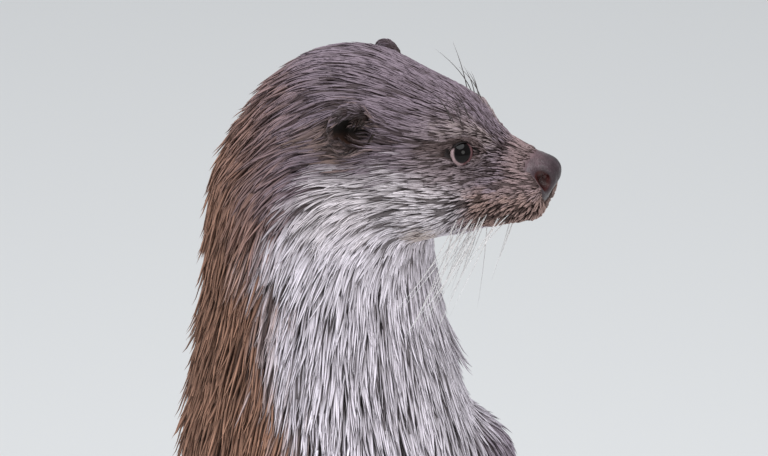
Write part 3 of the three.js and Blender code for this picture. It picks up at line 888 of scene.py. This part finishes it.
def skin_material():
    """Dark underfur, partly the underfur's colour and partly painted shade in the gaps of the coat; bare
    skin, where the tint's alpha is 0, shows its own colour.
    """
    made = Nodes("skin")
    tint = made.layer("Tint")
    places = made.places()
    mottle = made.noise(places, 260, 4)
    # Under the coat the skin is darkened and turned towards the dark root brown: partly the underfur's
    # colour, partly painted shade in the gaps of the coat.
    under = made.varied(mottle, 0.10, 0.22)
    bare = made.varied(mottle, 0.8, 1.15)
    shade = made.add("ShaderNodeMix", {0: tint["Alpha"], 2: bare, 3: under}, data_type="FLOAT").outputs[0]
    colour = made.shaded(tint["Color"], shade)
    colour = made.mix(made.math("MULTIPLY", tint["Alpha"], 0.6), colour, ROOT_BROWN_AND_GAP_SHADE)
    made.bump(made.noise(places, 900), 0.4, 0.0004)
    made.shader.inputs["Specular IOR Level"].default_value = 0.2
    return made.finish(colour, made.varied(mottle, 0.62, 0.5))


def nose_material():
    """Bare skin in small grains, moist."""
    made = Nodes("nose_skin")
    places = made.places()
    grains = made.add("ShaderNodeTexVoronoi", {"Vector": places, "Scale": 1500.0}).outputs["Distance"]
    mottle = made.noise(places, 300, 4)
    shade = made.math("MULTIPLY", made.varied(mottle, 0.75, 1.25), made.ranged(grains, 0, 0.6, 1.1, 0.75))
    colour = made.shaded(made.layer("Tint")["Color"], shade)
    made.bump(grains, 0.35, 0.0003)
    made.shader.inputs["Specular IOR Level"].default_value = 0.35
    return made.finish(colour, made.varied(mottle, 0.42, 0.3))


def eye_material():
    """Wet, with a soft glint."""
    made = Nodes("eye")
    mottle = made.noise(made.places(), 900)
    colour = made.shaded(made.layer("Tint")["Color"], made.varied(mottle, 0.8, 1.2))
    made.bump(mottle, 0.02, 0.0001)
    made.shader.inputs["IOR"].default_value = 1.27
    return made.finish(colour, made.varied(mottle, 0.04, 0.07))


def horn_material(name, root, tip, gloss):
    """Claws and hairs, whose layer named Along runs from 0 at the root to 1 at the tip."""
    made = Nodes(name)
    streaks = made.noise(made.places(), 700)
    colour = made.mix(made.layer("Along")["Fac"], (*root, 1), (*tip, 1))
    colour = made.shaded(colour, made.varied(streaks, 0.75, 1.2))
    made.bump(streaks, 0.25, 0.0002)
    return made.finish(colour, made.varied(streaks, gloss, gloss + 0.12))


# ---- bare skin, and the skin and nose as pieces
# Colours of the ear's hollow, near-black and browner towards its lower part: partly dark skin, partly
# painted shade in the hollow.
EAR_DARK_AND_SHADE = np.array([0.006, 0.004, 0.003])
EAR_BROWN = np.array([0.05, 0.025, 0.018])
LID_UPPER_AND_SHADOW = np.array([0.014, 0.010, 0.010])
LID_LOWER = np.array([0.21, 0.165, 0.175])
EYE_ROUND_AND_SHADE = np.array([0.055, 0.038, 0.036])
NOSE_SKIN = np.array([0.054, 0.034, 0.040])
NOSE_TOP = np.array([0.15, 0.095, 0.105])
NOSTRIL_RED = np.array([0.055, 0.012, 0.011])
NOSTRIL_SHADE = np.array([0.030, 0.006, 0.005])

bareness = ramp(nose_edge(skin_at), 7, 0)
skin_colour = fur_colour(skin_points)
eye_at, eye_along, eye_height = lids(skin_at)
# A dark ring round the upper side of the eye: partly dark skin, partly painted shade in the hollow under the
# brow.
round_eye = ramp(eye_at, 2.9, 1.5) * ramp(eye_height, -4.5, 0)
skin_colour = mixed(skin_colour, EYE_ROUND_AND_SHADE, round_eye)
# The upper lid near-black: partly its dark rim, partly painted shadow of the lid and brow; its band is wider
# on the upper side as painted shadow.
upper_lid = np.maximum(ramp(eye_height, -2.0, -0.4), ramp(eye_along, -3, -4.5))
lid_colour = mixed(LID_LOWER, LID_UPPER_AND_SHADOW, upper_lid)
skin_colour = mixed(skin_colour, lid_colour, ramp(eye_at, 1.38 + 0.32 * upper_lid, 1.2))
bareness = np.maximum(bareness, np.maximum(ramp(eye_at, 1.5, 1.3), 0.7 * round_eye))
# The ear's hollow painted near-black, lighter brown lower down: partly dark skin, partly painted shade.
in_ear = ramp(ear_place(skin_at)[0], 1.25, 0.95)
ear_floor = mixed(EAR_DARK_AND_SHADE, EAR_BROWN, ramp(ear_place(skin_at)[2], 0.1, -0.7))
skin_colour = mixed(skin_colour, ear_floor, in_ear)
bareness = np.maximum(bareness, in_ear)
on_paw = skin_edges.smooth(is_on(skin_owner, ("forepaw", "hind_foot")).astype(float), 12)
bareness = np.maximum(bareness, 0.45 * on_paw)
on_top = ramp(skin_at[:, 2], -23, -13) * ramp(skin_at[:, 0], 82, 72)
nose_colour = mixed(NOSE_SKIN, NOSE_TOP, on_top)
from_rim = brought_left(skin_at) - NOSTRIL
to_nostril = np.min([np.linalg.norm(from_rim + NOSTRIL_OUT * deep, axis=1) for deep in range(8)], axis=0)
nose_colour = mixed(nose_colour, NOSTRIL_RED, ramp(to_nostril, 6.0, 4.9))
# Near-black deep in the nostril: painted shade in the hole.
nose_colour = mixed(nose_colour, NOSTRIL_SHADE, ramp(to_nostril, 4.4, 3.2))
skin_colour = mixed(skin_colour, nose_colour, ramp(nose_edge(skin_at), 5, -0.5))


def part_of_skin(name, chosen, material):
    used, tris = np.unique(skin_tris[chosen], return_inverse=True)
    mesh = new_mesh(name, skin_points[used], tris.reshape(-1, 3))
    put_values(mesh, "Tint", "FLOAT_COLOR", np.column_stack([skin_colour, 1 - bareness])[used])
    return dressed(name, mesh, material)


on_nose = nose_edge(tri_at) < 0
skin = part_of_skin("skin", ~on_nose, skin_material())
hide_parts(*[name for name in FLESH if name != "nose"])
nose = part_of_skin("nose_skin", on_nose, nose_material())
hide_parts("nose")
bpy.data.meshes.remove(skin_mesh)

# ---- the coat
SOLE = 2.5 * MM  # no coat below this height
NAPE_DOWN_TO = 380 * MM
TUFT_PLACE = np.array([197, 31, 512]) * MM  # on the throat, towards its left
TUFT_RADIUS = 7 * MM
fur = fur_material()
in_eye_or_ear = (lids(tri_at)[0] < 1.22) | (ear_place(tri_at)[0] < 0.95)
bare_tris = (tri_middle[:, 2] < SOLE) | on_nose | in_eye_or_ear
by_muzzle = tri_at[:, 0] > 24
nape = (pale_share(tri_middle) < 0.3) & (tri_at[:, 0] < -30) & (tri_middle[:, 2] > NAPE_DOWN_TO)
tuft = np.linalg.norm(tri_middle - TUFT_PLACE, axis=1) < TUFT_RADIUS
grow_coat("coat_face", HEAD_NODES, SHORT, 2.7, (4, 1.6, 0.6), "brown_fur", by_muzzle, under_share=0.4,
          lying=to_head)
grow_coat("coat_crown", HEAD_NODES, LONG, 3.0, (11, 2.3, 0.78), "brown_fur", ~by_muzzle, under_share=0.42,
          lying=to_head)
grow_coat("coat_crown_fine", HEAD_NODES, LONG, 0.5, (5, 1, 0.3), "brown_fur", ~by_muzzle, fine=0.45,
          lying=to_head)
grow_coat("coat_neck", "neck", LONG, 3.2, (16, 2.7, 0.85), "pale_fur", under_share=0.19, brown_gaps=0.22)
grow_coat("coat_neck_fine", "neck", LONG, 0.9, (6, 1.2, 0.3), "pale_fur", fine=0.4)
grow_coat("coat_nape", ("neck", "chest", "head"), LONG, 0.6, (7, 7, 0.8), "brown_fur", nape, under_share=0,
          proud=1.8)
grow_coat("coat_throat_tuft", "neck", LONG, 2, (6, 6, 0.8), "pale_fur", tuft, under_share=0, proud=2)
grow_coat("coat_chest", "chest", LONG, 3.4, (14, 3, 0.8), "grey_brown_fur", under_share=0.16,
          brown_gaps=0.2)
grow_coat("coat_belly", "abdomen", LONG, 2.8, (12, 2.8, 0.6), "brown_fur", under_share=0.28)
grow_coat("coat_limbs", ("upper_arm", "forearm", "thigh", "shank"), LONG, 2.6, (9, 2.5, 0.5), "brown_fur",
          under_share=0.28)
grow_coat("coat_tail", "tail", LONG, 2.8, (9, 2.8, 0.5), "brown_fur", under_share=0.28, lying=lengthwise)
grow_coat("coat_paws", ("forepaw", "hind_foot"), SHORT, 1.6, (2, 2, 0), "brown_fur", under_share=0.1)


TUFTS = 34  # on each ear


def ear_tufts(name, side):
    """Dark tufts from the upper and front edge of the ear, hanging back over the hollow; their near-black is
    partly painted shade of the hollow.
    """
    around = np.radians(rng.uniform(0, 150, TUFTS))
    out_to = rng.uniform(0.98, 1.4, TUFTS)
    wanted = EAR_CENTRE + np.outer(np.cos(around) * out_to * EAR_SIZE[0], (1, 0, 0))
    wanted = on_side(wanted + np.outer(np.sin(around) * out_to * EAR_SIZE[1], EAR_UP), side)
    found = [skin_tree.find_nearest(point) for point in from_head(wanted).tolist()]
    roots = np.array([tuple(hit[0]) for hit in found])
    out = tri_normals[[hit[2] for hit in found]]
    way = unit(np.array([-0.75, 0.28, -0.55]) + rng.normal(0, 0.16, (TUFTS, 3)))
    way = on_side(way, side) @ HEAD_AXES
    length = rng.uniform(4, 8, TUFTS) * MM
    share = LONG["shares"][None, :, None]
    along = (way * length[:, None])[:, None] * share
    lines = roots[:, None] + along + out[:, None] * (share * 1.2 - 0.2) * MM
    outs = np.repeat(out[:, None], len(LONG["shares"]), 1)
    sides = unit(np.cross(outs, way[:, None]))
    tint = np.column_stack([np.tile(EAR_FUR_AND_SHADE, (TUFTS, 1)), rng.random(TUFTS)])
    coat_piece(name, LONG, "brown_fur", lines, outs, sides, rng.uniform(0.9, 1.6, TUFTS) * MM, tint, roots)


for side in SIDES:
    ear_tufts(f"coat_ear_{side}", side)

# ---- eyes
# The iris's colour; on the eyeball it is also the dark of the painted shade.
IRIS_AND_EYE_SHADE = np.array([0.003, 0.002, 0.002])
BACK_CORNER = np.array([0.46, 0.33, 0.34])
FRONT_CORNER = np.array([0.15, 0.075, 0.080])
for side in SIDES:
    form = bmesh.new()
    bmesh.ops.create_uvsphere(form, u_segments=64, v_segments=40, radius=EYE_RADIUS)
    mesh = bpy.data.meshes.new(f"eyeball_{side}")
    form.to_mesh(mesh)
    form.free()
    own = arrays(mesh)
    at = own @ eye_axes(side) + on_side(EYE_PLACE, side)
    put_points(mesh, from_head(at))
    mesh.shade_smooth()
    off = np.hypot((own[:, 0] + 0.1) / 3.75, (own[:, 1] - 0.3) / 4.8)
    white = mixed(BACK_CORNER, FRONT_CORNER, ramp(own[:, 0], -0.5, 1.5))
    # The part of the eyeball facing most to the front is darkened: painted shade in the eye's corner.
    white = mixed(white, IRIS_AND_EYE_SHADE, 0.85 * ramp(own[:, 0], 4.1, 5.1))
    # The upper back of the eyeball is darkened: painted shadow of the upper lid.
    white = mixed(white, IRIS_AND_EYE_SHADE, 0.9 * ramp(own[:, 1] - own[:, 0] * 0.5, 2.9, 4.4))
    colour = mixed(IRIS_AND_EYE_SHADE, white, ramp(off, 0.95, 1.1))
    put_values(mesh, "Tint", "FLOAT_COLOR", np.column_stack([colour, np.ones(len(own))]))
    eye = dressed(f"eyeball_{side}", mesh, eye_material())
    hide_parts(f"eye_{side}")

# ---- claws
CLAW_ROOT = 4.6 * MM  # how far the claws are stretched back into the toes, which the coat's depth draws in
CLAW_SWELL = 0.4 * MM  # what the subdivision takes off
horn = horn_material("claw", (0.10, 0.07, 0.055), (0.26, 0.20, 0.15), 0.25)
for name in CLAWS:
    points, tris = merged_node(name)
    points += point_normals(points, tris) * CLAW_SWELL
    out_of_toe = towards(name.removeprefix("claw_").rsplit("_", 1)[0], name)
    reach = (points - middle(name)) @ out_of_toe
    points -= np.outer(ramp(reach, reach.max(), reach.min()) * CLAW_ROOT, out_of_toe)
    mesh = evaluated(new_mesh(f"horn_{name}", points, tris), "SUBSURF", levels=2, render_levels=2)
    mesh.shade_smooth()
    points = arrays(mesh)
    reach = (points - middle(name)) @ out_of_toe
    put_values(mesh, "Along", "FLOAT", ramp(reach, reach.min(), reach.max()))
    claw = dressed(f"horn_{name}", mesh, horn)
    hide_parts(name)


# ---- whiskers
def hair_tubes(name, roots, ways, length, thick, droop, material):
    """Thin tapered hairs that bend over to droop. All in the head's frame, in millimetres."""
    rings, sides = 9, 5
    share = np.linspace(0, 1, rings)[None, :, None]
    roots, ways, droop = (np.asarray(values, float)[:, None, :] for values in (roots, ways, droop))
    lines = roots + ways * share * length[:, None, None] + droop * share**2 * length[:, None, None]
    along = unit(np.gradient(lines, axis=1))
    one = unit(np.cross(along, (0.3, 0.2, 1)))
    two = np.cross(along, one)
    turn_by = np.arange(sides) * 2 * np.pi / sides
    thin = thick * (1.08 - share[..., None] ** 2.2)
    ring = one[:, :, None] * np.cos(turn_by)[:, None] + two[:, :, None] * np.sin(turn_by)[:, None]
    points = (lines[:, :, None] + ring * thin).reshape(-1, 3)
    faces = []
    for step in range(rings - 1):
        for i in range(sides):
            j = (i + 1) % sides
            a, b = step * sides, (step + 1) * sides
            faces += [(a + i, a + j, b + j), (a + i, b + j, b + i)]
    for base in (0, (rings - 1) * sides):
        faces += [(base, base + i, base + i + 1) for i in range(1, sides - 1)]
    faces = np.array(faces)[None] + (np.arange(len(lines)) * rings * sides)[:, None, None]
    mesh = new_mesh(name, from_head(points), faces.reshape(-1, 3))
    put_values(mesh, "Along", "FLOAT", np.tile(np.repeat(np.linspace(0, 1, rings), sides), len(lines)))
    dressed(name, mesh, material)


def from_the_side(x, z, side):
    """The skin's surface at x and z of the head's frame, as seen from that side."""
    start = from_head(np.array([x, 70.0 * SIGN[side], z]))
    hit = skin_tree.ray_cast(Vector(start), Vector(-SIGN[side] * HEAD_AXES[1]))
    return to_head(np.array(hit[0]))


WHISKERS = 19  # on each side
BROW_HAIRS = ((40, 3.0), (43, 2.6), (46, 2.0), (42, 4.6), (44.5, 4.0), (38, 4.4))  # ahead and up
white_hair = horn_material("whisker", (0.70, 0.66, 0.65), (0.95, 0.94, 0.94), 0.3)
dark_hair = horn_material("brow_hair", (0.04, 0.03, 0.028), (0.07, 0.055, 0.05), 0.35)
for side in SIDES:
    places = zip(rng.uniform(39, 67, WHISKERS), rng.uniform(-42, -36, WHISKERS))
    roots = np.array([from_the_side(x, z, side) for x, z in places])
    ways = on_side(unit(np.array([-0.34, 0.34, -0.85]) + rng.normal(0, 0.12, (WHISKERS, 3))), side)
    droop = on_side(np.array([-0.2, -0.1, -0.25]) + rng.normal(0, 0.1, (WHISKERS, 3)), side)
    length = rng.uniform(32, 68, WHISKERS) * (1 - 0.62 * ramp(roots[:, 0], 50, 68))
    hair_tubes(f"whiskers_{side}", roots, ways, length, 0.23, droop, white_hair)
    roots = np.array([from_the_side(x, z, side) for x, z in BROW_HAIRS])
    count = len(roots)
    ways = on_side(unit(np.array([-0.2, 0.3, 1.0]) + rng.normal(0, 0.1, (count, 3))), side)
    droop = on_side(np.array([-0.3, 0.05, -0.05]) + rng.normal(0, 0.06, (count, 3)), side)
    length = rng.uniform(12, 23, count)
    hair_tubes(f"brow_hairs_{side}", roots, ways, length, 0.2, droop, dark_hair)

# ---- camera, floor and light
CAMERA_AZIMUTH = math.radians(35)
CAMERA_ELEVATION = math.radians(20)
CAMERA_DISTANCE = 3.514
CAMERA_LENS = 370
# Where the near eye lies from the middle of the picture, in the plane square to the view.
EYE_TO_THE_RIGHT = 34.15 * MM
EYE_ABOVE = 33.65 * MM

back = Vector((
    math.sin(CAMERA_AZIMUTH) * math.cos(CAMERA_ELEVATION),
    -math.cos(CAMERA_AZIMUTH) * math.cos(CAMERA_ELEVATION),
    math.sin(CAMERA_ELEVATION),
))
turn = back.to_track_quat("Z", "Y")
camera = new_object("camera", bpy.data.cameras.new("camera"))
camera.data.lens = CAMERA_LENS
camera.data.clip_end = 100
camera.rotation_euler = turn.to_euler()
to_camera = Vector((-EYE_TO_THE_RIGHT, -EYE_ABOVE, CAMERA_DISTANCE))
camera.location = Vector(middle("eye_right")) + turn @ to_camera
bpy.context.scene.camera = camera

floor_mesh = new_mesh("floor", np.array([[-60, -60, 0], [60, -60, 0], [60, 60, 0], [-60, 60, 0]]),
                      np.array([[0, 1, 2, 3]]))
floor = new_object("floor", floor_mesh)
paper = bpy.data.materials.new("floor")
paper.use_nodes = True
paper.node_tree.nodes["Principled BSDF"].inputs["Base Color"].default_value = (0.8, 0.8, 0.79, 1)
paper.node_tree.nodes["Principled BSDF"].inputs["Roughness"].default_value = 0.9
floor_mesh.materials.append(paper)


def softbox(name, place, aim, size, power, colour):
    light = bpy.data.lights.new(name, "AREA")
    light.shape = "DISK"
    light.size = size
    light.energy = power
    light.color = colour
    made = new_object(name, light)
    made.location = place
    made.rotation_euler = (Vector(place) - Vector(aim)).to_track_quat("Z", "Y").to_euler()
    made.visible_camera = False


softbox("overhead", (0.3, -0.6, 3.2), (0.1, 0, 0.5), 3.2, 92, (0.95, 0.97, 1.0))
softbox("front", (2.6, -1.6, 1.6), (0.1, 0, 0.5), 1.6, 22, (1, 0.98, 0.95))
world = bpy.data.worlds.new("studio")
world.use_nodes = True
world.node_tree.nodes["Background"].inputs["Color"].default_value = (0.86, 0.9, 0.95, 1)
world.node_tree.nodes["Background"].inputs["Strength"].default_value = 0.45
bpy.context.scene.world = world
bpy.context.scene.view_settings.view_transform = "Standard"
